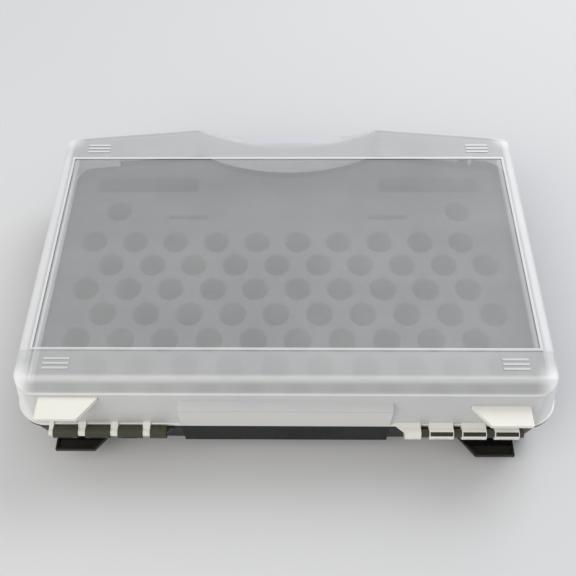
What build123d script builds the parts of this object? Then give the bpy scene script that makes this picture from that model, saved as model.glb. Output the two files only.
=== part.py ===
from build123d import *
import os
from math import atan, cos, degrees, radians, sqrt, tan

# Carry case of two identical half shells, hinged along -Y, with the hand bar at +Y.
# Millimetres. The case lies on its base, +Z up, with its origin under the middle.
# Heights in a half shell are measured from the parting plane, where the halves meet.

# Case body, in plan at the rim
case_width = 450.0
corner_depth = 294.5
wing_rise = 14.0
wing_spacing = 180.0
recess_depth = 24.5
near_corner_radius = 26.0
far_corner_radius = 24.0
wing_tip_radius = 12.0

# Case body, in height
half_height = 50.0
wall = 2.4
draft_angle = 10.0
rim_band_reach = 0.8
rim_band_height = 3.0
shoulder_drop = 8.5
shoulder_width = 11.0
top_edge_radius = 3.0

# Frame round the flat panel, which is also what the case stands on
bead_height = 1.0
bead_width = 2.2
panel_side_margin = 18.5
panel_near_margin = 44.0
panel_far_margin = 39.5

# Grip bars beside the four corners of the panel
grip_bar_count = 3
grip_bar_pitch = 4.2
grip_bar_length = 21.0
grip_bar_width = 1.8
grip_bar_height = 0.6
grip_bar_inset = 13.0
grip_bar_gap = 12.0

# Flat pad in the middle of the hinge side
pad_drop = 16.0
pad_slope = 5.0
pad_gap = 2.6

# Hand bar
bar_stand = 12.5
bar_thickness = 12.5
bar_half_height = 13.0
bar_end_length = 24.0
bar_wall = 2.2
bracket_gap = 8.0
bracket_drop = 17.0
bracket_step = 13.0
bar_rib_pitch = 26.0
bar_rib_thickness = 1.8
bar_corner_radius = 9.0
bar_edge_radius = 2.0
bar_crease_radius = 14.0

# Hinges
hinge_axis_gap = 5.8
knuckle_radius = 5.0
finger_radius = 3.4
knuckle_web_height = 5.0
knuckle_pitch = 26.6
finger_width = 6.0
end_finger_width = 3.5
finger_count = 4
hinge_side_margin = 30.6
end_knuckle_width = 13.1
end_knuckle_slant = 9.0
knuckle_gap = 0.4
hinge_pin_radius = 1.2
pin_running_gap = 0.08
pin_hole_sides = 8
knuckle_slot_width = 1.6
knuckle_slot_margin = 4.0

# Feet that let the closed case stand on its hinge side
foot_reach = 11.4
foot_thickness = 4.0
foot_side_margin = 29.5
foot_root_width = 48.0
foot_tip_width = 33.0
foot_drop = 3.0
foot_step = 10.0
foot_skin = 1.6

# Rim tongue
tongue_height = 4.0
tongue_thickness = 1.6
tongue_gap = 0.35
tongue_root = 4.6
tongue_start = 40.0

# Latches
latch_side_margin = 80.0
latch_width = 42.0
latch_thickness = 2.8
latch_pivot_height = 18.0
latch_pivot_reach = 3.3
latch_barrel_radius = 3.0
latch_pin_radius = 1.25
latch_top_height = 20.0
latch_lip_reach = 3.2
latch_lip_height = 5.0
latch_gap = 0.3
latch_side_gap = 0.4
ear_thickness = 3.5
catch_reach = 1.6
catch_height = 9.0
catch_thickness = 3.0
catch_width = 34.0
hook_bite = 3.4
hook_thickness = 3.0

# Upright ribs inside the far wall
inner_rib_margin = 38.0
inner_rib_thickness = 2.4
inner_rib_depth = 5.0
inner_rib_height = 15.0

# Foam
foam_gap = 0.4
foam_top_drop = 5.5
foam_pad_thickness = 5.0
socket_diameter = 25.0
socket_sides = 12
socket_pitch = 39.9
socket_row_pitch = 27.6
socket_margin = 12.0
first_row_y = 29.5
extra_socket_step_x = 25.0
extra_socket_step_y = 7.5
pocket_width = 104.0
pocket_depth = 20.5
pocket_side_margin = 80.0
pocket_far_margin = 25.0
slot_width = 40.0
slot_depth = 6.0
slot_step_x = 45.0
slot_step_y = 43.0

# Sizes worked out from those above
half_width = case_width / 2
shoulder_ridge_height = half_height - shoulder_drop
panel_width = case_width - 2 * panel_side_margin
panel_depth = corner_depth - panel_near_margin - panel_far_margin
wing_x = wing_spacing / 2
wing_slope = wing_rise / (half_width - wing_x)
wing_angle = degrees(atan(wing_slope))
recess_y = corner_depth + wing_rise - recess_depth
recess_radius = (wing_x**2 + recess_depth**2) / (2 * recess_depth)
panel_height = half_height - bead_height
draft = tan(radians(draft_angle))
inner_inset = rim_band_reach + wall
pin_hole_radius = hinge_pin_radius + pin_running_gap
latch_hole_radius = latch_pin_radius + pin_running_gap
bar_reach = corner_depth + wing_rise + bar_stand
bracket_reach = bar_reach - bracket_step
bracket_height = half_height - bracket_drop
bracket_spread = wing_spacing - 2 * bracket_gap
bar_straight = bracket_spread - 2 * bar_end_length
near_y = (foot_reach - bar_reach) / 2
first_finger_x = half_width - hinge_side_margin - end_finger_width - knuckle_pitch * (finger_count - 1)
hinge_inner_x = first_finger_x - knuckle_gap - end_knuckle_width
pad_width = 2 * (hinge_inner_x - end_knuckle_slant - pad_gap)
pad_height = half_height - pad_drop
foot_outer_x = half_width - foot_side_margin
high_foot_height = shoulder_ridge_height - foot_drop - foot_thickness
low_foot_height = high_foot_height - foot_step
latch_x = half_width - latch_side_margin
inner_rib_x = half_width - inner_rib_margin
pocket_x = half_width - pocket_side_margin
pocket_y = corner_depth - pocket_far_margin
slot_x = pocket_x - slot_step_x
slot_y = pocket_y - slot_step_y
foam_width = case_width - 2 * (inner_inset + foam_gap + draft * foam_top_drop)
socket_columns = int((foam_width - 2 * socket_margin - socket_diameter) / socket_pitch + 0.5)
last_row_limit = slot_y - (slot_depth + socket_diameter) / 2 - socket_margin
socket_rows = int((last_row_limit - first_row_y) / socket_row_pitch) + 1
big = 2 * case_width


def plan(inset):
    """Outline of a half shell in plan, drawn in from the rim."""
    side = half_width - inset
    lean = sqrt(1 + wing_slope**2)
    line_start = corner_depth + wing_slope * half_width - inset * lean
    arc_centre = recess_y + recess_radius
    arc_radius = recess_radius + inset
    gap = line_start - arc_centre
    square = 1 + wing_slope**2
    tip_x = (gap * wing_slope + sqrt(arc_radius**2 * square - gap**2)) / square
    tip_y = line_start - wing_slope * tip_x
    corner_y = line_start - wing_slope * side
    edges = [
        Line((-side, inset), (side, inset)),
        Line((side, inset), (side, corner_y)),
        Line((side, corner_y), (tip_x, tip_y)),
        ThreePointArc((tip_x, tip_y), (0, arc_centre - arc_radius), (-tip_x, tip_y)),
        Line((-tip_x, tip_y), (-side, corner_y)),
        Line((-side, corner_y), (-side, inset)),
    ]
    face = make_face(edges)
    face = fillet(face.vertices().sort_by(Axis.Y)[:2], near_corner_radius - inset)
    corners = face.vertices().filter_by(lambda v: abs(v.X) > side - 0.01 and v.Y > corner_y - 0.1)
    face = fillet(corners, far_corner_radius - inset)
    tips = face.vertices().filter_by(lambda v: abs(abs(v.X) - tip_x) < 0.01 and abs(v.Y - tip_y) < 0.01)
    return fillet(tips, wing_tip_radius - inset / 2)


def box(x_range, y_range, z_range):
    """Block between two values on each axis."""
    size = [high - low for low, high in (x_range, y_range, z_range)]
    centre = [(high + low) / 2 for low, high in (x_range, y_range, z_range)]
    return Pos(*centre) * Box(*size)


def along_x(points, x_low, x_high):
    """Prism with a (y, z) outline, from one x to another."""
    outline = Plane.YZ * make_face(Polyline(*points, close=True))
    return Pos(x_low, 0, 0) * extrude(outline, amount=x_high - x_low)


def shoulder_cutter(edge_y, outward, thickness):
    """Everything outside the sloped shoulder whose foot lies at edge_y on the ridge."""
    rise = panel_height - shoulder_ridge_height
    slant = sqrt(rise**2 + shoulder_width**2)
    step_y = -outward * shoulder_width / slant
    step_z = rise / slant
    foot_y = edge_y - outward * thickness * step_z
    foot_z = shoulder_ridge_height - thickness * abs(step_y)
    reach = 4 * shoulder_width
    low = (foot_y - reach * step_y, foot_z - reach * step_z)
    high = (foot_y + reach * step_y, foot_z + reach * step_z)
    return along_x([low, high, (high[0], half_height + reach), (low[0], half_height + reach)], -big, big)


def wing_side(solid, side):
    """Turn a cutter to the slope of one wing and keep its half of the case."""
    turned = Pos(side * half_width, corner_depth, 0) * Rot(0, 0, -side * wing_angle) * solid
    return turned & box((0, side * big) if side > 0 else (side * big, 0), (0, big), (-big, big))


def body(inset, height, thickness):
    """Drafted body with its sloped shoulders, solid."""
    solid = extrude(plan(inset), amount=height, taper=draft_angle)
    ridge_inset = rim_band_reach + draft * shoulder_ridge_height
    solid -= shoulder_cutter(ridge_inset, -1, thickness)
    for side in (-1, 1):
        solid -= wing_side(shoulder_cutter(-ridge_inset, 1, thickness), side)
    return solid


def rim_band():
    """Narrow band that stands proud round the rim."""
    return extrude(plan(0), amount=rim_band_height)


def centre_pad(grow):
    """Flat upright pad in the middle of the hinge side, drawn in by grow."""
    half = pad_width / 2 - grow
    deep = rim_band_reach + draft * pad_height + wall
    top = pad_height - grow
    return along_x([(grow, 0), (grow, top - pad_slope), (deep, top), (deep, 0)], -half, half)


def panel_frame():
    """Raised bead round the flat panel."""
    middle = panel_near_margin + panel_depth / 2
    outer = Rectangle(panel_width, panel_depth)
    inner = Rectangle(panel_width - 2 * bead_width, panel_depth - 2 * bead_width)
    return Pos(0, middle, panel_height) * extrude(outer - inner, amount=bead_height)


def grip_bars():
    """Short raised bars outside the four corners of the panel."""
    span = grip_bar_pitch * (grip_bar_count - 1)
    near = panel_near_margin - grip_bar_gap
    far = panel_near_margin + panel_depth + grip_bar_gap
    x = (panel_width - grip_bar_length) / 2 - grip_bar_inset
    bars = []
    for y in (near, far):
        for side in (-1, 1):
            for count in range(grip_bar_count):
                bar = Box(grip_bar_length, grip_bar_width, 2 * grip_bar_height)
                bars.append(Pos(side * x, y - span / 2 + count * grip_bar_pitch, panel_height) * bar)
    return bars


def bar_plan(grow):
    """Hand bar and its brackets in plan, drawn in by grow."""
    half = bar_straight / 2
    spread = bracket_spread / 2
    inner = bar_reach - bar_thickness
    root = corner_depth - wing_rise
    right = [
        (half, bar_reach),
        (spread, bracket_reach),
        (spread + wing_rise, bracket_reach - wing_rise),
        (spread, root),
        (half, inner),
    ]
    left = [(-x, y) for x, y in reversed(right)]
    face = make_face(Polyline(*right, *left, close=True))
    face = fillet(face.vertices().filter_by(lambda v: v.Y > inner - 1), bar_corner_radius)
    return offset(face, -grow) if grow else face


def bar_side(grow):
    """Hand bar and its brackets seen from the front, drawn in by grow."""
    spread = bracket_spread / 2
    end = spread + 2 * wing_rise
    points = [(bar_straight / 2, bar_half_height), (spread, bracket_height), (end, bracket_height), (end, 0)]
    right = [(x, z - grow) for x, z in points]
    left = [(-x, z) for x, z in reversed(right)]
    face = make_face(Polyline(*right, *left, close=True))
    creases = face.vertices().filter_by(lambda v: abs(v.X) < spread + 1)
    return extrude(Plane.XZ * fillet(creases, bar_crease_radius), amount=-big)


def bar_hollow():
    """Pockets between the cross ribs inside the half hand bar, open at the parting plane."""
    hollow = Pos(0, 0, -bar_wall) * extrude(bar_plan(bar_wall), amount=half_height) & bar_side(bar_wall)
    hollow -= extrude(plan(-wall / 2), amount=half_height)
    count = int(bar_straight / bar_rib_pitch)
    for step in range(count + 1):
        x = (step - count / 2) * bar_rib_pitch
        hollow -= box((x - bar_rib_thickness / 2, x + bar_rib_thickness / 2), (0, big), (-big, big))
    return hollow


def hand_bar():
    """Half of the hand bar and its brackets, with rounded edges, from the parting plane up."""
    solid = extrude(bar_plan(0), amount=half_height) & bar_side(0)

    def on_top_outline(edge):
        centre = edge.center()
        on_bar = abs(centre.X) < bracket_spread / 2 - 2 * bar_edge_radius
        return centre.Z > bar_half_height - 0.01 and edge.bounding_box().size.X > 0.5 and on_bar

    places = [edge.center() for edge in solid.edges().filter_by(on_top_outline)]
    outer_places = [place for place in places if place.Y > bracket_reach + bar_edge_radius]
    inner_places = [place for place in places if place not in outer_places]
    bar = solid - bar_hollow()
    for chosen in (outer_places, inner_places):
        def is_chosen(edge):
            return any((edge.center() - place).length < 0.05 for place in chosen)
        bar = fillet(bar.edges().filter_by(is_chosen), bar_edge_radius)
    return bar


def knuckle(x_low, x_high, radius):
    """Hinge knuckle of one radius on its web, for x_low up to x_high."""
    axis = Plane.YZ * Pos(-hinge_axis_gap, 0)
    barrel = Pos(x_low, 0, 0) * extrude(axis * Circle(radius), amount=x_high - x_low)
    diagonal = radius * cos(radians(45))
    web_top = rim_band_reach + draft * knuckle_web_height + wall / 3
    points = [
        (-hinge_axis_gap - radius, 0),
        (-hinge_axis_gap - diagonal, diagonal),
        (web_top, knuckle_web_height),
        (rim_band_reach + wall / 2, 0),
    ]
    return barrel + along_x(points, x_low, x_high)


def finger_starts():
    """Inner ends of the narrow fingers, going out from the middle."""
    return [first_finger_x + knuckle_pitch * count for count in range(finger_count)]


def narrow_fingers():
    """Row of narrow fingers on one side, at +X."""
    starts = finger_starts()
    row = [knuckle(x, x + finger_width, finger_radius) for x in starts[:-1]]
    return row + [knuckle(starts[-1], starts[-1] + end_finger_width, finger_radius)]


def wide_knuckles():
    """Row of wide knuckles that fill the gaps between the fingers, at +X."""
    starts = finger_starts()
    row = []
    for x in starts[:-1]:
        low = x + finger_width + knuckle_gap
        high = x + knuckle_pitch - knuckle_gap
        slot = box(
            (low + knuckle_slot_margin, high - knuckle_slot_margin),
            (-2 * hinge_axis_gap, -hinge_axis_gap),
            (-knuckle_slot_width / 2, knuckle_slot_width / 2),
        )
        row.append(knuckle(low, high, knuckle_radius) - slot)
    start = hinge_inner_x
    end = first_finger_x - knuckle_gap
    gusset = make_face(Polyline(
        (start - end_knuckle_slant, rim_band_reach + wall / 2),
        (start, -hinge_axis_gap),
        (end, -hinge_axis_gap),
        (end, rim_band_reach + wall / 2),
        close=True,
    ))
    slant_start = start - end_knuckle_slant
    slanted = extrude(gusset, amount=knuckle_web_height) & knuckle(slant_start, end, knuckle_radius)
    row.append(knuckle(start, end, knuckle_radius) + slanted)
    return row


def pin_hole(radius):
    """Flat-sided hole whose sides stand at a radius from a pin's axis."""
    return RegularPolygon(radius, pin_hole_sides, major_radius=False)


def hinge_bore():
    """Hole for a hinge pin, blind at its inner end, at +X."""
    start = hinge_inner_x + end_knuckle_width / 2
    hole = Plane.YZ * Pos(-hinge_axis_gap, 0) * pin_hole(pin_hole_radius)
    return Pos(start, 0, 0) * extrude(hole, amount=half_width - start)


def foot(height, side):
    """Shelf foot on the hinge side, hollow on the face towards the parting plane."""
    def slab(shrink, low, high):
        reach = -foot_reach + shrink
        root = rim_band_reach + draft * height + wall / 2
        outline = make_face(Polyline(
            (foot_outer_x - foot_root_width + shrink, root),
            (foot_outer_x - foot_tip_width + shrink, reach),
            (foot_outer_x - shrink, reach),
            (foot_outer_x - shrink, root),
            close=True,
        ))
        return Pos(0, 0, low) * extrude(outline, amount=high - low)

    top = height + foot_thickness
    solid = slab(0, height, top)
    hollow = slab(foot_skin, height, top - foot_skin) - box((0, big), (0, big), (0, big))
    solid -= hollow
    return solid if side > 0 else mirror(solid, Plane.YZ)


def rim_tongue():
    """Tongue along one side and far corner, which goes inside the other half's wall."""
    outer = inner_inset + draft * tongue_height + tongue_gap
    start = half_width - 2 * far_corner_radius
    keep = box((-big, -start), (tongue_start, big), (-big, big))
    lip = extrude(plan(outer) - plan(outer + tongue_thickness), amount=-tongue_height) & keep
    root = extrude(plan(inner_inset - wall / 2) - plan(outer + tongue_thickness), amount=tongue_root) & keep
    return lip + root


def wing_place(side):
    """Place on the wing line at the middle of a latch, turned to the wing."""
    y = corner_depth + wing_slope * (half_width - latch_x)
    return Pos(side * latch_x, y, 0) * Rot(0, 0, -side * wing_angle)


def latch_ears():
    """Two ears that hold a latch's pin, in the wing's own place."""
    ears = []
    inner = latch_width / 2 + latch_side_gap
    root = -rim_band_reach - draft * latch_pivot_height - wall / 2
    drop = latch_barrel_radius
    for side in (-1, 1):
        low = inner if side > 0 else -inner - ear_thickness
        eye = Plane.YZ * Pos(latch_pivot_reach, latch_pivot_height) * Circle(latch_barrel_radius)
        ear = Pos(low, 0, 0) * extrude(eye, amount=ear_thickness)
        points = [
            (root, latch_pivot_height - drop),
            (latch_pivot_reach, latch_pivot_height - drop),
            (latch_pivot_reach, latch_pivot_height + drop),
            (root, latch_pivot_height + 2 * drop),
        ]
        ears.append(ear + along_x(points, low, low + ear_thickness))
    return ears


def latch_bore():
    """Hole through both ears."""
    reach = latch_width / 2 + latch_side_gap + ear_thickness
    hole = Plane.YZ * Pos(latch_pivot_reach, latch_pivot_height) * pin_hole(latch_hole_radius)
    return Pos(-reach - 1, 0, 0) * extrude(hole, amount=2 * reach + 2)


def catch():
    """Ledge that a latch hooks over, in the wing's own place."""
    root = -rim_band_reach - draft * catch_height - wall / 2
    top = catch_height + catch_thickness
    points = [
        (root, catch_height - catch_thickness),
        (catch_reach, catch_height),
        (catch_reach, top),
        (root, top),
    ]
    return along_x(points, -catch_width / 2, catch_width / 2)


def inner_ribs():
    """Short upright ribs inside the far wall near its corners, up from the rim."""
    ribs = []
    for side in (-1, 1):
        y = corner_depth + wing_slope * (half_width - inner_rib_x) - inner_inset
        low = side * inner_rib_x - inner_rib_thickness / 2
        deep = y - inner_rib_depth - draft * inner_rib_height
        rib = box((low, low + inner_rib_thickness), (deep, y + wall / 2), (tongue_root, inner_rib_height))
        ribs.append(rib & body(rim_band_reach + wall / 2, panel_height - wall / 2, wall / 2))
    return ribs


def half_shell():
    """One moulded half, with its rim at z = 0 and its panel above."""
    outer = body(rim_band_reach, panel_height, 0)
    outer = fillet(outer.edges().group_by(Axis.Z)[-1], top_edge_radius)
    cavity = body(inner_inset, panel_height - wall, wall)
    shell = outer + rim_band() + centre_pad(0) + hand_bar() - cavity - centre_pad(wall)
    shell += wide_knuckles()
    shell += [mirror(finger, Plane.YZ) for finger in narrow_fingers()]
    shell -= [hinge_bore(), mirror(hinge_bore(), Plane.YZ)]
    shell += [foot(low_foot_height, 1), foot(high_foot_height, -1)]
    shell += panel_frame()
    shell += rim_tongue()
    shell += grip_bars()
    shell += inner_ribs()
    shell += [wing_place(-1) * ear for ear in latch_ears()]
    shell += wing_place(1) * catch()
    shell -= wing_place(-1) * latch_bore()
    return shell


def lid_place():
    """Where the half shell's own frame goes for the lid."""
    return Pos(0, near_y, half_height)


def base_place():
    """The same, turned over end for end, for the base."""
    return Pos(0, near_y, half_height) * Rot(0, 180, 0)


def hinge_pin(side):
    """Pin of one hinge."""
    start = hinge_inner_x + end_knuckle_width / 2 + knuckle_gap
    end = finger_starts()[-1] + end_finger_width - knuckle_gap
    wire = Plane.YZ * Pos(-hinge_axis_gap, 0) * Circle(hinge_pin_radius)
    pin = Pos(start, 0, 0) * extrude(wire, amount=end - start)
    pin = pin if side > 0 else mirror(pin, Plane.YZ)
    return lid_place() * pin


def latch():
    """Snap latch in the wing's own place, pivoting above the parting plane."""
    inner = catch_reach + latch_gap
    outer = inner + latch_thickness
    hook_z = -(catch_height + catch_thickness) - latch_gap
    tip_z = -latch_top_height
    half = latch_width / 2
    barrel = Plane.YZ * Pos(latch_pivot_reach, latch_pivot_height) * Circle(latch_barrel_radius)
    hole = Plane.YZ * Pos(latch_pivot_reach, latch_pivot_height) * pin_hole(latch_hole_radius)
    plate = [(inner, latch_pivot_height), (outer, latch_pivot_height), (outer, tip_z), (inner, tip_z)]
    hook = [
        (inner + 1, hook_z),
        (catch_reach - hook_bite, hook_z),
        (catch_reach - hook_bite, hook_z - hook_thickness / 2),
        (inner + 1, hook_z - 2 * hook_thickness),
    ]
    lip = [
        (inner, tip_z + latch_lip_height),
        (outer, tip_z + latch_lip_height),
        (outer + latch_lip_reach, tip_z),
        (inner + latch_lip_reach, tip_z),
        (inner, tip_z + latch_lip_reach),
    ]
    solid = Pos(-half, 0, 0) * extrude(barrel, amount=latch_width)
    solid += along_x(plate, -half, half)
    solid += along_x(lip, -half, half)
    solid += along_x(hook, -catch_width / 2, catch_width / 2)
    solid -= Pos(-half, 0, 0) * extrude(hole, amount=latch_width)
    return solid


def latch_pin():
    """Pin through one latch and its ears, in the wing's own place."""
    reach = latch_width / 2 + latch_side_gap + ear_thickness - knuckle_gap
    wire = Plane.YZ * Pos(latch_pivot_reach, latch_pivot_height) * Circle(latch_pin_radius)
    return Pos(-reach, 0, 0) * extrude(wire, amount=2 * reach)


def socket_places():
    """Centres of the round bottle sockets, in rows shifted by a quarter pitch each way."""
    places = []
    for row in range(socket_rows):
        shift = socket_pitch / 4 if row % 2 == 0 else -socket_pitch / 4
        for column in range(socket_columns):
            x = (column - (socket_columns - 1) / 2) * socket_pitch + shift
            places.append((x, first_row_y + row * socket_row_pitch))
    extra_x = pocket_x + extra_socket_step_x
    extra_y = slot_y + extra_socket_step_y
    return places + [(-extra_x, extra_y), (extra_x, extra_y)]


def foam_block(low, high):
    """Foam that follows the base's wall between two heights below the rim."""
    block = body(inner_inset + foam_gap, high, wall + foam_gap) & box((-big, big), (-big, big), (low, high))
    for side in (-1, 1):
        x = side * inner_rib_x
        room = inner_rib_thickness / 2 + foam_gap
        y = corner_depth - draft * inner_rib_height - inner_inset - inner_rib_depth - foam_gap
        block -= box((x - room, x + room), (y, big), (0, inner_rib_height + foam_gap))
    return block


def foam_tray():
    """Foam tray with bottle sockets, brush pockets and slots, open at the top."""
    low = foam_top_drop
    high = panel_height - wall - foam_pad_thickness
    tray = foam_block(low, high)
    tool = []
    for x, y in socket_places():
        socket = RegularPolygon(socket_diameter / 2, socket_sides)
        tool.append(Pos(x, y, low) * extrude(socket, amount=high - low))
    for side in (-1, 1):
        pocket = RectangleRounded(pocket_width, pocket_depth, pocket_depth / 5)
        tool.append(Pos(side * pocket_x, pocket_y, low) * extrude(pocket, amount=high - low))
        slot = Rectangle(slot_width, slot_depth)
        tool.append(Pos(side * slot_x, slot_y, low) * extrude(slot, amount=high - low))
    return base_place() * (tray - tool)


def foam_pad():
    """Foam sheet on the base's floor, under the tray."""
    high = panel_height - wall
    return base_place() * foam_block(high - foam_pad_thickness, high)


shell = half_shell()
parts = {
    "base_shell": base_place() * shell,
    "lid_shell": lid_place() * shell,
    "hinge_pin_left": hinge_pin(-1),
    "hinge_pin_right": hinge_pin(1),
    "latch_left": lid_place() * wing_place(-1) * latch(),
    "latch_pin_left": lid_place() * wing_place(-1) * latch_pin(),
    "latch_right": base_place() * wing_place(-1) * latch(),
    "latch_pin_right": base_place() * wing_place(-1) * latch_pin(),
    "foam_tray": foam_tray(),
    "foam_pad": foam_pad(),
}

os.makedirs("parts", exist_ok=True)
for name, solid in parts.items():
    export_step(solid, f"parts/{name}.step")
    print(name, round(solid.volume), [round(value, 2) for value in solid.bounding_box().size])
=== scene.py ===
from math import acos, atan2, cos, hypot, pi, radians, sin, sqrt

import bmesh
import bpy
from mathutils import Matrix, Vector


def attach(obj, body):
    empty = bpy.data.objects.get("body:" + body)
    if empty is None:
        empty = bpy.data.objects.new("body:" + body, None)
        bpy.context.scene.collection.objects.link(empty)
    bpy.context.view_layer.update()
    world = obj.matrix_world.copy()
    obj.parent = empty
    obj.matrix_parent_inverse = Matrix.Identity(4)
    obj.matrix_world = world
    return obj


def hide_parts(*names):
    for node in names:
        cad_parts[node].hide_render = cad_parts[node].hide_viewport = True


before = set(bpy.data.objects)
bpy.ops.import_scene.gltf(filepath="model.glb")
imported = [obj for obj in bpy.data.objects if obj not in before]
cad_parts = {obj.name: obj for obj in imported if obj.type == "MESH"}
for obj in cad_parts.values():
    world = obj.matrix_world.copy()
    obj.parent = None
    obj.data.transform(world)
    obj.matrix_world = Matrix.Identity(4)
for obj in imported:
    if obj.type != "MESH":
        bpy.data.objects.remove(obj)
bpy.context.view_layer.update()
MM = 0.001

# Sizes of the case that the looks repeat, in millimetres. NEAR_Y is the near rim in the row
# frame. PANEL_NEAR, PANEL_FAR and the other names that end in Y are distances from it.
HALF_WIDTH = 225.0
HALF_HEIGHT = 50.0
CORNER_DEPTH = 294.5
WING_X = 90.0
WING_RISE = 14.0
WING_SLOPE = WING_RISE / (HALF_WIDTH - WING_X)
RECESS_Y = 284.0
RECESS_DEPTH = 24.5
RECESS_RADIUS = (WING_X**2 + RECESS_DEPTH**2) / (2 * RECESS_DEPTH)
NEAR_RADIUS = 26.0
FAR_RADIUS = 24.0
TIP_RADIUS = 12.0
FOOT_REACH = 11.4
BAR_REACH = 321.0
NEAR_Y = (FOOT_REACH - BAR_REACH) / 2
WALL_INSET = 3.2
DRAFT_ANGLE = radians(10)
DRAFT = sin(DRAFT_ANGLE) / cos(DRAFT_ANGLE)
PANEL_X = 206.5
PANEL_NEAR = 44.0
PANEL_FAR = 255.0
BEAD = 2.2
RIM_BAND = 0.8
RIDGE_Z = 91.4
SHOULDER_TOP_Y = 19.1
BAR_START_Y = 296.0

# Pad between the hinges, and the hinges' fingers and open knuckles
PAD_X = 86.0
PAD_TOP = 84.0
PAD_SLOPE = 5.0
FINGER_X = 111.1
FINGER_WIDTH = 6.0
FINGER_PITCH = 26.6
FINGER_COUNT = 4
# Place and half width of the painted dark line that stands for the knuckles' slot
SLOT_OFFSET = -8.3
SLOT_HALF = 1.5

# Foam tray and the sheet under it
FOAM_GAP = 0.5
FOAM_BELOW_RIM = 5.5
FOAM_TOP = HALF_HEIGHT - FOAM_BELOW_RIM
FOAM_SEAM = 8.4
LIP = 0.9
LIP_CURVE = 0.3
SHEET_BOTTOM = 3.5
SHEET_DRAWN_IN = 12.0
SHEET_GAP = 0.05
SHEET_EDGE_RUN = 0.6
SHEET_EDGE_RISE = 0.4

# Openings of the tray. A pocket is x, y, half its length, half its width and corner radius.
SOCKET_RADIUS = 12.4
SOCKET_PITCH = 39.9
SOCKET_ROWS = 7
SOCKET_COLUMNS = 10
ROW_PITCH = 27.6
FIRST_ROW_Y = 29.5
SINGLE_SOCKETS = [(-170.0, 234.0), (170.0, 234.0)]
BRUSH_POCKET = (145.0, 269.5, 52.0, 10.2, 4.0)
CARD_SLOT = (100.0, 226.5, 20.0, 3.0, 1.2)

# Steps along each curve, and the angle from which an edge stays sharp
CORNER_STEPS = 10
TIP_STEPS = 8
RECESS_STEPS = 16
SOCKET_STEPS = 40
POCKET_STEPS = 5
SHARP_ANGLE = radians(40)


# Meshes
def arc(centre, radius, start, end, steps):
    """Points on an arc from one angle to another."""
    angles = [start + (end - start) * step / steps for step in range(steps + 1)]
    return [(centre[0] + radius * cos(a), centre[1] + radius * sin(a)) for a in angles]


def half_outline(inset):
    """Right half of the case's plan, drawn in from the rim, from the near side to the recess."""
    lean = sqrt(1 + WING_SLOPE**2)
    line_start = CORNER_DEPTH + WING_SLOPE * HALF_WIDTH - inset * lean
    side = HALF_WIDTH - inset
    tilt = atan2(1, WING_SLOPE)
    near = NEAR_RADIUS - inset
    points = [(0, inset)]
    points += arc((side - near, inset + near), near, -pi / 2, 0, CORNER_STEPS)
    far = FAR_RADIUS - inset
    far_x = side - far
    far_y = line_start - WING_SLOPE * far_x - far * lean
    points += arc((far_x, far_y), far, 0, tilt, CORNER_STEPS)
    # The tip's arc touches the wing's line and the recess's circle
    tip = TIP_RADIUS - inset / 2
    reach = RECESS_RADIUS + inset
    centre_y = RECESS_Y + RECESS_RADIUS
    low = line_start - tip * lean - centre_y
    square = lean**2
    root = (reach + tip) ** 2 * square - low**2
    tip_x = (low * WING_SLOPE + sqrt(root)) / square
    tip_y = line_start - tip * lean - WING_SLOPE * tip_x
    toward = atan2(centre_y - tip_y, -tip_x)
    points += arc((tip_x, tip_y), tip, tilt, toward, TIP_STEPS)
    angle = acos(tip_x / hypot(tip_x, centre_y - tip_y))
    points += arc((0, centre_y), reach, -angle, -pi / 2, RECESS_STEPS)[1:-1]
    return points


def outline(inset):
    """Whole plan at an inset, as (x, y) in millimetres from the middle of the near rim."""
    right = half_outline(inset)
    middle = [(0, RECESS_Y - inset)]
    left = [(-x, y) for x, y in reversed(right[1:])]
    return right + middle + left


def ring(mesh, points, height):
    """Closed loop of vertices at one height."""
    return [mesh.verts.new((x * MM, (y + NEAR_Y) * MM, height * MM)) for x, y in points]


def bridge(mesh, low, high):
    """Quads between two loops of equal length."""
    for k in range(len(low)):
        n = (k + 1) % len(low)
        mesh.faces.new((low[k], low[n], high[n], high[k]))


def loop_edges(mesh, loop):
    """Edges round a loop of vertices, made where they are missing."""
    found = []
    for k in range(len(loop)):
        pair = (loop[k], loop[(k + 1) % len(loop)])
        found.append(mesh.edges.get(pair) or mesh.edges.new(pair))
    return found


def finish_mesh(mesh, name):
    """Smooth-shaded object from a bmesh, with its normals outward."""
    bmesh.ops.recalc_face_normals(mesh, faces=mesh.faces)
    data = bpy.data.meshes.new(name)
    mesh.to_mesh(data)
    mesh.free()
    piece = bpy.data.objects.new(name, data)
    bpy.context.scene.collection.objects.link(piece)
    for face in data.polygons:
        face.use_smooth = True
    data.set_sharp_from_angle(angle=SHARP_ANGLE)
    return piece


def circle(centre, radius):
    """Loop of points round a socket."""
    angles = [2 * pi * k / SOCKET_STEPS for k in range(SOCKET_STEPS)]
    return [(centre[0] + radius * cos(a), centre[1] + radius * sin(a)) for a in angles]


def rounded_box(centre, half_x, half_y, radius):
    """Loop of points round a rectangle with round corners."""
    points = []
    for quarter, (sx, sy) in enumerate(((1, 1), (-1, 1), (-1, -1), (1, -1))):
        middle = (centre[0] + sx * (half_x - radius), centre[1] + sy * (half_y - radius))
        points += arc(middle, radius, quarter * pi / 2, (quarter + 1) * pi / 2, POCKET_STEPS)
    return points


def socket_centres():
    """Centres of the round sockets as the tray lies in the base."""
    places = []
    middle = (SOCKET_COLUMNS - 1) / 2
    for row in range(SOCKET_ROWS):
        shift = SOCKET_PITCH / 4 if row % 2 == 0 else -SOCKET_PITCH / 4
        y = FIRST_ROW_Y + row * ROW_PITCH
        for column in range(SOCKET_COLUMNS):
            places.append((-((column - middle) * SOCKET_PITCH + shift), y))
    return places + SINGLE_SOCKETS


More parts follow.
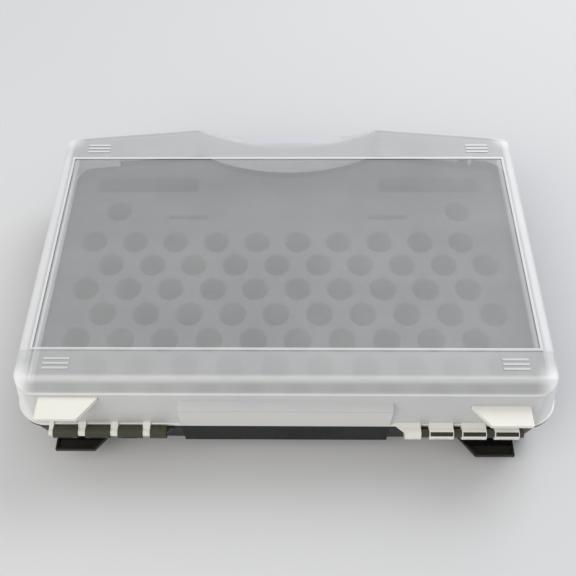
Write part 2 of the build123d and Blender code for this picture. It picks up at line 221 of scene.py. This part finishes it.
def pocket_loop(side, pocket):
    """Function that gives a pocket's loop, on one side, when drawn out by grow."""
    x, y, half_x, half_y, radius = pocket
    return lambda grow: rounded_box((side * x, y), half_x + grow, half_y + grow, radius + grow)


def hole_loops():
    """For each opening of the tray, a function that gives its loop when drawn out by grow."""
    loops = [lambda grow, c=centre: circle(c, SOCKET_RADIUS + grow) for centre in socket_centres()]
    for side in (-1, 1):
        loops += [pocket_loop(side, pocket) for pocket in (BRUSH_POCKET, CARD_SLOT)]
    return loops


def foam_inset(height):
    """Inset of the foam's side at a height above the floor."""
    return WALL_INSET + FOAM_GAP + DRAFT * (HALF_HEIGHT - height)


def foam_tray_piece():
    """Foam tray with softened edges round its top and each opening."""
    mesh = bmesh.new()
    inset = foam_inset(FOAM_TOP)
    steps = ((LIP, 0.0), (LIP_CURVE * LIP, LIP_CURVE * LIP), (0.0, LIP))
    rings = [ring(mesh, outline(inset + grow), FOAM_TOP - drop) for grow, drop in steps]
    rings.append(ring(mesh, outline(foam_inset(FOAM_SEAM)), FOAM_SEAM))
    for low, high in zip(rings, rings[1:]):
        bridge(mesh, low, high)
    top_edges = loop_edges(mesh, rings[0])
    bottom_edges = loop_edges(mesh, rings[-1])
    for loop in hole_loops():
        walls = [ring(mesh, loop(grow), FOAM_TOP - drop) for grow, drop in steps]
        walls.append(ring(mesh, loop(0.0), FOAM_SEAM))
        for low, high in zip(walls, walls[1:]):
            bridge(mesh, low, high)
        top_edges += loop_edges(mesh, walls[0])
        bottom_edges += loop_edges(mesh, walls[-1])
    for edges in (top_edges, bottom_edges):
        bmesh.ops.triangle_fill(mesh, use_beauty=True, use_dissolve=False, edges=edges)
    return finish_mesh(mesh, "foam_tray_soft")


def foam_pad_piece():
    """Foam sheet under the tray, with a softened lower edge."""
    mesh = bmesh.new()
    top = foam_inset(FOAM_SEAM)
    bottom = foam_inset(SHEET_BOTTOM) + SHEET_DRAWN_IN
    rings = [
        ring(mesh, outline(top), FOAM_SEAM - SHEET_GAP),
        ring(mesh, outline(bottom), SHEET_BOTTOM + SHEET_EDGE_RISE),
        ring(mesh, outline(bottom + SHEET_EDGE_RUN), SHEET_BOTTOM),
    ]
    for low, high in zip(rings, rings[1:]):
        bridge(mesh, low, high)
    for loop in (rings[0], rings[-1]):
        bmesh.ops.triangle_fill(mesh, use_beauty=True, edges=loop_edges(mesh, loop))
    return finish_mesh(mesh, "foam_pad_soft")


# Materials
def moved(span, base):
    """Both ends of a span, counted from a base."""
    return [base + value for value in span]


def from_near(span):
    """Both ends of a span that is counted from the near rim, as y in the row frame."""
    return moved(span, NEAR_Y)


class Shader:
    """A material's node tree, with short calls for what is used here."""

    def __init__(self, name):
        self.material = bpy.data.materials.new(name)
        self.material.use_nodes = True
        self.tree = self.material.node_tree
        self.surface = self.tree.nodes["Principled BSDF"]
        self.place = self.tree.nodes.new("ShaderNodeTexCoord").outputs["Object"]

    def wire(self, socket, value):
        """Links a socket, or sets its value."""
        if isinstance(value, bpy.types.NodeSocket):
            self.tree.links.new(value, socket)
        else:
            socket.default_value = value

    def maths(self, operation, first, second=0.0):
        """Result of one operation on one or two numbers."""
        node = self.tree.nodes.new("ShaderNodeMath")
        node.operation = operation
        self.wire(node.inputs[0], first)
        self.wire(node.inputs[1], second)
        return node.outputs[0]

    def product(self, *factors):
        """Factors multiplied together."""
        result = factors[0]
        for factor in factors[1:]:
            result = self.maths("MULTIPLY", result, factor)
        return result

    def opposite(self, factor):
        """1 where a factor is 0, and 0 where it is 1."""
        return self.maths("SUBTRACT", 1.0, factor)

    def off(self, value, centre):
        """How far a number is from a centre, to either side."""
        return self.maths("ABSOLUTE", self.maths("SUBTRACT", value, centre))

    def varied(self, value, noise, reach):
        """Number moved up and down by a noise, over a reach in all."""
        return self.maths("ADD", value, self.product(self.maths("SUBTRACT", noise, 0.5), reach))

    def axes(self):
        """x, y and z of the surface point, in millimetres in the row frame."""
        node = self.tree.nodes.new("ShaderNodeSeparateXYZ")
        self.wire(node.inputs[0], self.place)
        return [self.product(socket, 1 / MM) for socket in node.outputs]

    def facing_in(self, centre):
        """1 on faces whose own outer side faces a place, in millimetres, and 0 on the others."""
        normal = self.tree.nodes.new("ShaderNodeTexCoord").outputs["Normal"]
        back = self.tree.nodes.new("ShaderNodeNewGeometry").outputs["Backfacing"]
        away = self.tree.nodes.new("ShaderNodeVectorMath")
        away.operation = "SUBTRACT"
        self.wire(away.inputs[0], self.place)
        away.inputs[1].default_value = [value * MM for value in centre]
        dot = self.tree.nodes.new("ShaderNodeVectorMath")
        dot.operation = "DOT_PRODUCT"
        self.wire(dot.inputs[0], normal)
        self.wire(dot.inputs[1], away.outputs[0])
        # Blender turns the normal over on a face met from behind, so it is turned back here
        turn = self.opposite(self.product(back, 2.0))
        return self.maths("LESS_THAN", self.product(dot.outputs["Value"], turn), 0.0)

    def stretched(self, scale):
        """Place with a scale along each axis."""
        node = self.tree.nodes.new("ShaderNodeMapping")
        self.wire(node.inputs["Vector"], self.place)
        node.inputs["Scale"].default_value = scale
        return node.outputs[0]

    def noise(self, size, detail=3.0, roughness=0.55, place=None):
        """Noise with features of about a size in metres."""
        node = self.tree.nodes.new("ShaderNodeTexNoise")
        self.wire(node.inputs["Vector"], place or self.place)
        node.inputs["Scale"].default_value = 1 / size
        node.inputs["Detail"].default_value = detail
        node.inputs["Roughness"].default_value = roughness
        return node.outputs["Fac"]

    def cells(self, size):
        """Distance from the middle of cells of a size in metres."""
        node = self.tree.nodes.new("ShaderNodeTexVoronoi")
        self.wire(node.inputs["Vector"], self.place)
        node.inputs["Scale"].default_value = 1 / size
        return node.outputs["Distance"]

    def ramp(self, factor, low, high):
        """Factor spread from 0 at low to 1 at high, smoothly."""
        node = self.tree.nodes.new("ShaderNodeMapRange")
        node.interpolation_type = "SMOOTHSTEP"
        self.wire(node.inputs["Value"], factor)
        node.inputs["From Min"].default_value = low
        node.inputs["From Max"].default_value = high
        return node.outputs["Result"]

    def between(self, factor, low, high):
        """Number from low to high by a factor."""
        node = self.tree.nodes.new("ShaderNodeMix")
        self.wire(node.inputs[0], factor)
        self.wire(node.inputs[2], low)
        self.wire(node.inputs[3], high)
        return node.outputs[0]

    def colour(self, factor, first, second):
        """Colour between two by a factor."""
        node = self.tree.nodes.new("ShaderNodeMix")
        node.data_type = "RGBA"
        self.wire(node.inputs[0], factor)
        for socket, value in ((node.inputs[6], first), (node.inputs[7], second)):
            self.wire(socket, value if isinstance(value, bpy.types.NodeSocket) else (*value, 1.0))
        return node.outputs[2]

    def bump(self, height, distance, strength=1.0, normal=None):
        """Normal from a height that stands for a distance in metres."""
        node = self.tree.nodes.new("ShaderNodeBump")
        node.inputs["Strength"].default_value = strength
        node.inputs["Distance"].default_value = distance
        self.wire(node.inputs["Height"], height)
        if normal is not None:
            self.wire(node.inputs["Normal"], normal)
        return node.outputs[0]

    def set(self, **values):
        """Sets or links the surface's sockets, named with underscores."""
        for name, value in values.items():
            self.wire(self.surface.inputs[name.replace("_", " ")], value)
        return self.material


# Black plastic. Each pair of colours is the darker and the paler one of a cloudy tone.
BLACK_TONES = ((0.0035, 0.0040, 0.0055), (0.0070, 0.0078, 0.0100))
DUST_TONE = (0.026, 0.026, 0.028)
SCUFF_TONE = (0.040, 0.039, 0.038)
# Painted warm highlight on the base's hinge knuckles, palest on their tops
KNUCKLE_HIGHLIGHT_TONE = (0.034, 0.032, 0.024)
KNUCKLE_TOP_HIGHLIGHT_TONE = (0.092, 0.090, 0.064)
DUST_SHARE = 0.25
SCUFF_SHARE = 0.25
KNUCKLE_HIGHLIGHT_SHARE = 0.7
DUST_DULLS = 0.14
SCUFFS_DULL = 0.10
KNUCKLE_HEIGHTS = (HALF_HEIGHT - 9.0, HALF_HEIGHT - 7.0)
BESIDE_BLACK_PAD = (PAD_X + 2.0, PAD_X + 3.0)


def black_plastic(name, roughness, grain, highlight_y=None):
    """Satin black moulded plastic with fine grain and dust, and, when a depth is given, a painted
    warm highlight on the hinge knuckles in front of it, palest on their tops.
    """
    shader = Shader(name)
    dust = shader.ramp(shader.noise(0.05, 5.0), 0.48, 0.75)
    lines = shader.stretched((0.25, 1.0, 1.0))
    scuffs = shader.ramp(shader.noise(0.004, 4.0, 0.6, lines), 0.58, 0.72)
    tone = shader.colour(shader.noise(0.02, 4.0), *BLACK_TONES)
    tone = shader.colour(shader.product(dust, DUST_SHARE), tone, DUST_TONE)
    tone = shader.colour(shader.product(scuffs, SCUFF_SHARE), tone, SCUFF_TONE)
    # Painted highlight: the hinge knuckles in front of the near wall, beside the pad, get a warm
    # paler tone, palest on their tops
    if highlight_y is not None:
        x, y, z = shader.axes()
        in_front = shader.ramp(y, highlight_y, highlight_y - 1.0)
        beside_pad = shader.ramp(shader.maths("ABSOLUTE", x), *BESIDE_BLACK_PAD)
        highlighted = shader.product(in_front, KNUCKLE_HIGHLIGHT_SHARE, beside_pad)
        knuckles = shader.ramp(z, *KNUCKLE_HEIGHTS)
        tone = shader.colour(highlighted, tone, shader.colour(knuckles, KNUCKLE_HIGHLIGHT_TONE, KNUCKLE_TOP_HIGHLIGHT_TONE))
    gloss = shader.between(dust, roughness, roughness + DUST_DULLS)
    gloss = shader.maths("ADD", gloss, shader.product(scuffs, SCUFFS_DULL))
    fine = shader.bump(shader.noise(0.0009, 2.0), grain)
    return shader.set(Base_Color=tone, Roughness=gloss, Normal=fine, Specular_IOR_Level=0.2)


# Frosted plastic: spans over which a part of its look fades in, from 0 to 1, in millimetres.
# HEIGHTS are from the floor, ACROSS from the middle to either side, and DEPTHS from the near
# rim. The others are counted from what their comment names.
TOP_HEIGHTS = (94.0, 95.5)
BEAD_HEIGHTS = (99.2, 99.5)
WALL_HEIGHTS = (94.0, 88.0)
SHOULDER_HEIGHTS = (93.5, 96.0)
STRIP_HEIGHTS = (88.0, 94.0)
CORNER_ACROSS = (195.0, 213.0)
RECESS_ACROSS = (98.0, 90.0)
# Painted glow: a paler strip along the panel's side edges stands for light through the side walls
WALL_GLOW_ACROSS = (198.5, 202.0)
RECESS_DEPTHS = (262.0, 270.0)
FAR_WALL_DEPTHS = (280.0, 286.0)
PANEL_DEPTHS = (PANEL_NEAR, PANEL_FAR)
NEAR_STRIP_DEPTHS = (PANEL_NEAR + 1.0, PANEL_NEAR - 1.0)
FRONT_DEPTHS = (NEAR_RADIUS, NEAR_RADIUS - 6.0)
BAR_DEPTHS = (BAR_START_Y, BAR_START_Y + 4.0)
PAD_FRONT_HEIGHTS = (PAD_TOP - PAD_SLOPE + 0.5, PAD_TOP - PAD_SLOPE - 4.0)
BEAD_INNER_EDGE = (0.0, -0.6)  # from the bead's inner edge
SIDE_BEAD = (-2.0, -0.5)  # from the side beads' inner edge
CORNER_ALONG = (8.0, 26.0)  # from the panel's near and far edges
SIDE_STRIP = (0.0, 4.0)  # from the panel's side edges
SIDE_WALL = (-4.0, 0.0)  # from the panel's side edges
BESIDE_PAD = (0.6, 1.6)  # from the pad's side edges
RIDGE_OFF = (1.3, 0.3)  # from the ridge's height
EDGE_OFF = (4.5, 0.5)  # from the shoulder's upper edge
PROUD = (0.2, 0.5)  # from the wall's face, outward

# How much of what lies behind is hidden, by place. Later rows cover earlier ones.
TOP_VEILS = (0.45, 0.47)
THIN_VEILS = {
    "near_strip": 0.56,
    "side_strip": 0.75,
    "wall": 0.94,
    "side_wall": 0.70,
    "edge": 0.72,
    "ridge": 0.92,
    "corner": 0.97,
    "far_wall": 0.97,
    "in_recess": 0.97,
    "panel": 0.30,
    # Painted glow of the side walls, laid on the panel's side edges
    "wall_glow": 0.50,
}
THICK_VEILS = {"pad": 0.90, "pad_front": 0.95}
BEAD_VEILS = (0.70, 0.86)
SIDE_BEAD_VEIL = 0.78
INNER_VEILS = (0.05, 0.92)
HINGE_VEIL = 0.96
CLOUD_REACH = 0.10
FLOW_REACH = 0.06

# Colours by place. Later rows cover earlier ones.
LID_TONES = ((0.89, 0.90, 0.94), (0.95, 0.945, 0.92))
# Painted shade: the near wall and the near strip of the top are toned darker than the rest of the
# lid
FRONT_SHADE_TONES = ((0.66, 0.67, 0.70), (0.73, 0.73, 0.70))
STRIP_SHADE_TONES = ((0.74, 0.75, 0.775), (0.80, 0.795, 0.775))
PLACE_TONES = {
    # Painted highlight along the shoulder's upper edge, which is also made more opaque
    "edge": (0.88, 0.88, 0.87),
    # Painted highlight: the lid's corners are toned paler and made more opaque
    "corner": (0.94, 0.94, 0.93),
    # Painted highlight line along the shoulder's ridge, which is also made more opaque
    "ridge": (0.86, 0.86, 0.85),
    "in_recess": (0.92, 0.92, 0.93),
    # Painted shade: the handle bar is toned darker than the lid around it
    "bar": (0.70, 0.71, 0.73),
    "pad_front": (0.82, 0.81, 0.77),
    "bead": (0.90, 0.90, 0.90),
    "hinge": (0.94, 0.92, 0.84),
    # Painted shade: a dark line along the tops of the wide knuckles, where their slot shows dark
    "slot_shade": (0.030, 0.026, 0.020),
}
ROUGHNESS_ON_PANEL = 0.38
ROUGHNESS_OFF_PANEL = 0.30
ROUGHNESS_REACH = 0.10


def slot_shade_mask(shader, x, y, z):
    """Where a painted dark line of shade stands for the open slot along the tops of the lid's wide
    knuckles, on the +X side.
    """
    last = FINGER_X + FINGER_PITCH * (FINGER_COUNT - 1)
    fingers = shader.maths("DIVIDE", shader.maths("SUBTRACT", x, FINGER_X), FINGER_PITCH)
    place = shader.product(shader.maths("FRACT", fingers), FINGER_PITCH)
    return shader.product(
        shader.ramp(place, FINGER_WIDTH + 0.8, FINGER_WIDTH + 1.3),
        shader.ramp(place, FINGER_PITCH - 0.8, FINGER_PITCH - 1.3),
        shader.ramp(x, FINGER_X, FINGER_X + 1.0),
        shader.ramp(x, last, last - 1.0),
        shader.ramp(shader.off(y, NEAR_Y + SLOT_OFFSET), SLOT_HALF + 0.2, SLOT_HALF - 0.2),
        shader.ramp(z, HALF_HEIGHT + 1.0, HALF_HEIGHT + 2.0),
        shader.ramp(z, HALF_HEIGHT + 9.0, HALF_HEIGHT + 8.0),
    )


def lid_places(shader):
    """Factors from 0 to 1 that say where each part of the lid's look lies, by name."""
    x, y, z = shader.axes()
    across = shader.maths("ABSOLUTE", x)
    middle = NEAR_Y + (PANEL_NEAR + PANEL_FAR) / 2
    half_depth = (PANEL_FAR - PANEL_NEAR) / 2
    along = shader.off(y, middle)
    inside_x = shader.ramp(across, *moved(BEAD_INNER_EDGE, PANEL_X - BEAD))
    inside_y = shader.ramp(along, *moved(BEAD_INNER_EDGE, half_depth - BEAD))
    panel = shader.product(inside_x, inside_y, shader.ramp(z, *TOP_HEIGHTS))
    bead = shader.ramp(z, *BEAD_HEIGHTS)
    wall = shader.ramp(z, *WALL_HEIGHTS)
    inner = shader.facing_in((0.0, middle, HALF_HEIGHT))
    outer = shader.opposite(inner)
    at_recess = shader.ramp(across, *RECESS_ACROSS)
    # Hinges, feet and pad stand out past the near wall, which leans in by the draft
    rise = shader.product(shader.maths("SUBTRACT", z, HALF_HEIGHT), DRAFT)
    wall_y = shader.maths("ADD", rise, NEAR_Y + RIM_BAND)
    proud = shader.ramp(shader.maths("SUBTRACT", wall_y, y), *PROUD)
    beside_pad = shader.ramp(across, *moved(BESIDE_PAD, PAD_X))
    pad = shader.product(proud, shader.opposite(beside_pad))
    return {
        "toward_far": shader.ramp(y, *from_near(PANEL_DEPTHS)),
        "near_strip": shader.ramp(y, *from_near(NEAR_STRIP_DEPTHS)),
        "near_strip_top": shader.ramp(z, *STRIP_HEIGHTS),
        "side_strip": shader.ramp(across, *moved(SIDE_STRIP, PANEL_X)),
        "wall": wall,
        "side_wall": shader.product(shader.ramp(across, *moved(SIDE_WALL, PANEL_X)), wall),
        "far_wall": shader.product(shader.ramp(y, *from_near(FAR_WALL_DEPTHS)), wall),
        "front": shader.product(shader.ramp(y, *from_near(FRONT_DEPTHS)), wall),
        "in_recess": shader.product(at_recess, wall, shader.ramp(y, *from_near(RECESS_DEPTHS))),
        # Painted highlight along the shoulder's upper edge
        "edge": shader.product(
            shader.ramp(shader.off(y, NEAR_Y + SHOULDER_TOP_Y), *EDGE_OFF),
            outer,
            shader.ramp(z, *SHOULDER_HEIGHTS),
        ),
        # Painted highlight line along the shoulder's ridge
        "ridge": shader.product(shader.ramp(shader.off(z, RIDGE_Z), *RIDGE_OFF), outer),
        # Painted highlight on the lid's corners
        "corner": shader.product(
            shader.ramp(across, *CORNER_ACROSS),
            shader.ramp(along, *moved(CORNER_ALONG, half_depth)),
        ),
        "panel": panel,
        # Painted glow of the side walls along the panel's side edges
        "wall_glow": shader.product(panel, shader.ramp(across, *WALL_GLOW_ACROSS)),
        "bead": bead,
        "side_bead": shader.product(
            inside_y, bead, shader.ramp(across, *moved(SIDE_BEAD, PANEL_X - BEAD))
        ),
        "inner": inner,
        # Painted shade on the handle bar
        "bar": shader.product(shader.ramp(y, *from_near(BAR_DEPTHS)), at_recess),
        "pad": pad,
        "pad_front": shader.product(pad, shader.ramp(z, *PAD_FRONT_HEIGHTS)),
        "hinge": shader.product(proud, beside_pad),
        "slot_shade": slot_shade_mask(shader, x, y, z),
    }


def lid_veil(shader, at, cloud):
    """How much of what lies behind the lid is hidden at each place."""
    veil = shader.between(at["toward_far"], *TOP_VEILS)
    for name, share in THIN_VEILS.items():
        veil = shader.between(at[name], veil, share)
    flow = shader.noise(0.03, 3.0, 0.5, shader.stretched((0.12, 1.0, 1.0)))
    veil = shader.varied(veil, cloud, CLOUD_REACH)
    veil = shader.varied(veil, flow, FLOW_REACH)
    for name, share in THICK_VEILS.items():
        veil = shader.between(at[name], veil, share)
    veil = shader.between(at["bead"], veil, shader.between(at["toward_far"], *BEAD_VEILS))
    veil = shader.between(at["side_bead"], veil, SIDE_BEAD_VEIL)
    # Inner faces are nearly clear, so that the veil isn't laid twice, but not at the far side
    behind = shader.maths("MAXIMUM", at["far_wall"], at["in_recess"])
    veil = shader.between(at["inner"], veil, shader.between(behind, *INNER_VEILS))
    return shader.between(at["hinge"], veil, HINGE_VEIL)


def lid_tone(shader, at, cloud):
    """The lid's colour at each place, with painted shade and painted highlights by place."""
    tone = shader.colour(cloud, *LID_TONES)
    # Painted shade on the near wall and the near strip
    tone = shader.colour(at["front"], tone, shader.colour(cloud, *FRONT_SHADE_TONES))
    strip = shader.product(at["near_strip"], at["near_strip_top"])
    tone = shader.colour(strip, tone, shader.colour(cloud, *STRIP_SHADE_TONES))
    for name, place_tone in PLACE_TONES.items():
        tone = shader.colour(at[name], tone, place_tone)
    return tone


def frosted_plastic():
    """Milky translucent plastic, clearer inside the panel's bead and nearly solid where thick."""
    shader = Shader("frosted_lid")
    at = lid_places(shader)
    cloud = shader.noise(0.09, 4.0)
    gloss = shader.between(at["panel"], ROUGHNESS_OFF_PANEL, ROUGHNESS_ON_PANEL)
    gloss = shader.maths("ADD", gloss, shader.product(shader.noise(0.012, 4.0), ROUGHNESS_REACH))
    frost = shader.bump(shader.noise(0.0012, 2.0), 0.00002)
    warp = shader.bump(shader.noise(0.07, 2.0), 0.0006, 0.5, frost)
    veil = lid_veil(shader, at, cloud)
    tone = lid_tone(shader, at, cloud)
    return shader.set(Base_Color=tone, Roughness=gloss, Alpha=veil, Normal=warp)


# Foam and wire
# Painted shade below the foam's top edge, in the sockets and down its sides
FOAM_SHADE_HEIGHTS = (FOAM_TOP - LIP, FOAM_TOP - 4 * LIP)
FOAM_SHADE = 0.6
PORE_SHADE = 0.5
PORE_SHARE = 0.5
TRAY_TONES = ((0.095, 0.098, 0.108), (0.130, 0.133, 0.142))
# The sheet under the tray is real, and its dark tone is painted shade on the sockets' floors
SHEET_SHADE_TONES = ((0.034, 0.035, 0.039), (0.050, 0.051, 0.055))
STEEL_TONES = ((0.30, 0.30, 0.31), (0.46, 0.46, 0.47))


def foam(name, dark, pale):
    """Closed-cell foam with fine pores, between two greys, and a painted shade that darkens it
    below its top edge, down its sockets' walls and sides.
    """
    shader = Shader(name)
    height = shader.axes()[2]
    speck = shader.ramp(shader.noise(0.0010, 3.0), 0.40, 0.70)
    tone = shader.colour(shader.noise(0.05, 4.0), dark, pale)
    # Painted shade: the foam darkens below its top edge
    shaded_below_top = shader.ramp(height, *FOAM_SHADE_HEIGHTS)
    tone = shader.colour(shaded_below_top, tone, [value * FOAM_SHADE for value in dark])
    pores = shader.product(speck, PORE_SHARE)
    tone = shader.colour(pores, tone, [value * PORE_SHADE for value in dark])
    rough = shader.bump(shader.cells(0.0014), 0.0005, 0.7)
    rough = shader.bump(shader.noise(0.01, 3.0), 0.0006, 0.4, rough)
    gloss = shader.between(speck, 0.86, 0.97)
    return shader.set(Base_Color=tone, Roughness=gloss, Normal=rough, Sheen_Weight=0.05)


def steel():
    """Drawn steel wire with fine lines along it."""
    shader = Shader("pin_steel")
    lines = shader.noise(0.0006, 3.0, 0.6, shader.stretched((0.04, 1.0, 1.0)))
    tone = shader.colour(lines, *STEEL_TONES)
    gloss = shader.between(lines, 0.26, 0.42)
    fine = shader.bump(lines, 0.00003)
    return shader.set(Base_Color=tone, Roughness=gloss, Metallic=1.0, Normal=fine)


def paint(piece, material):
    """Gives a piece one material."""
    piece.data.materials.clear()
    piece.data.materials.append(material)


base_look = black_plastic("black_base", 0.40, 0.00003, NEAR_Y - 1.5)
latch_look = black_plastic("black_latch", 0.24, 0.00002)
looks = {
    "base_shell": base_look,
    "lid_shell": frosted_plastic(),
    "latch_left": latch_look,
    "latch_right": latch_look,
}
pin_look = steel()
for name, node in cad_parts.items():
    if name in looks:
        paint(node, looks[name])
    elif "pin" in name:
        paint(node, pin_look)

tray_look = foam("grey_foam", *TRAY_TONES)
# Dark sheet under the tray, its tone painted shade on the socket floors
pad_look = foam("dark_foam", *SHEET_SHADE_TONES)
foams = ((foam_tray_piece, "foam_tray", tray_look), (foam_pad_piece, "foam_pad", pad_look))
for build, node, look in foams:
    piece = build()
    paint(piece, look)
    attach(piece, "base")
    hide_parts(node)

# Floor, a little under the case, in metres
FLOOR_SIZE = 40
FLOOR_DROP = 0.0002
FLOOR_TONES = ((0.74, 0.74, 0.75), (0.77, 0.77, 0.77))


def floor_material():
    """Plain pale floor with a very slight variation."""
    shader = Shader("pale_floor")
    tone = shader.colour(shader.noise(0.6, 2.0), *FLOOR_TONES)
    return shader.set(Base_Color=tone, Roughness=0.85)


bpy.ops.mesh.primitive_plane_add(size=FLOOR_SIZE, location=(0, 0, -FLOOR_DROP))
floor = bpy.context.object
floor.name = "floor"
paint(floor, floor_material())

# Light, in metres and watts
AIM = (0, 0, 0.05)
KEY_TINT = (0.94, 0.97, 1.0)
FILL_TINT = (1.0, 0.94, 0.85)
WORLD_COLOUR = (0.95, 0.97, 1.0, 1.0)
WORLD_STRENGTH = 0.56


def area(name, place, size, power, tint):
    """Square softbox that points at the middle of the case."""
    light = bpy.data.lights.new(name, "AREA")
    light.size = size
    light.energy = power
    light.color = tint
    lamp = bpy.data.objects.new(name, light)
    lamp.location = place
    lamp.rotation_euler = (Vector(AIM) - Vector(place)).to_track_quat("-Z", "Y").to_euler()
    bpy.context.scene.collection.objects.link(lamp)


area("key", place=(0.9, 1.0, 1.5), size=1.2, power=16.0, tint=KEY_TINT)
area("fill", place=(-1.1, -0.9, 1.3), size=1.4, power=11.0, tint=FILL_TINT)
world = bpy.data.worlds.new("studio")
world.use_nodes = True
background = world.node_tree.nodes["Background"]
background.inputs["Color"].default_value = WORLD_COLOUR
background.inputs["Strength"].default_value = WORLD_STRENGTH
bpy.context.scene.world = world

# Camera, fitted to the photo
PHOTO_PIXELS = 576
FOCAL_PIXELS = 735.5
SENSOR = 36.0
LOOK_DOWN = radians(56.34)
TURN = radians(-1.30)
ROLL = radians(-0.99)
CAMERA_PLACE = (0.0096, -0.3965, 0.6189)
camera_data = bpy.data.cameras.new("camera")
camera_data.sensor_fit = "HORIZONTAL"
camera_data.sensor_width = SENSOR
camera_data.lens = SENSOR * FOCAL_PIXELS / PHOTO_PIXELS
camera = bpy.data.objects.new("camera", camera_data)
bpy.context.scene.collection.objects.link(camera)
turned = Matrix.Rotation(-TURN, 4, "Z")
turned = turned @ Matrix.Rotation(pi / 2 - LOOK_DOWN, 4, "X") @ Matrix.Rotation(ROLL, 4, "Z")
camera.matrix_world = Matrix.Translation(CAMERA_PLACE) @ turned
bpy.context.scene.camera = camera
bpy.context.scene.view_settings.view_transform = "Standard"
